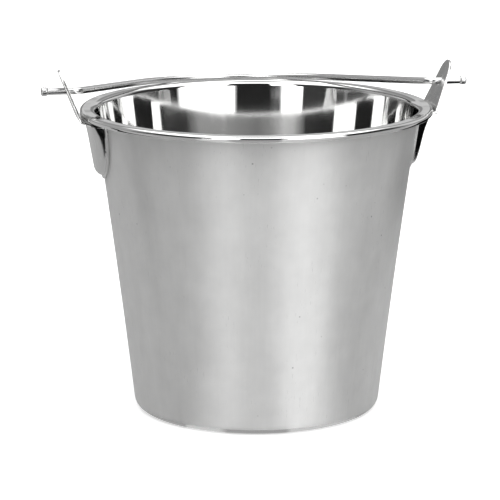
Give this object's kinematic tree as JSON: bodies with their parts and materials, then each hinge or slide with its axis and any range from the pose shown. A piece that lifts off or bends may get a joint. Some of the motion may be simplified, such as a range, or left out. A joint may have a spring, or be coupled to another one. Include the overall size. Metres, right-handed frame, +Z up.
{
  "type": "feed bucket",
  "caption": "Tapered stainless steel feed pail with a curled rim, two pressed ears and a folding wire bail.",
  "frame": {"origin": "centre of the flat base, on the surface the pail stands on", "axes": "+Z up along the pail's axis, X through the two ears, +Y towards the side that the folded bail lies on"},
  "size_m": [0.372, 0.3239, 0.3],
  "materials": {
    "shell_steel": "satin outside, mirror polished inside",
    "ear_steel": "bright, as pressed",
    "bail_steel": "bright drawn wire"
  },
  "bodies": {
    "pail": {"pail_shell": "shell_steel", "ear_right": "ear_steel", "ear_left": "ear_steel"},
    "bail": {"bail": "bail_steel"}
  },
  "joints": [
    {"name": "bail_swing", "type": "hinge", "parent": "pail", "child": "bail", "pos_m": [0, 0, 0.2824], "axis": [1, 0, 0], "range_deg": [0, 192.5]}
  ]
}
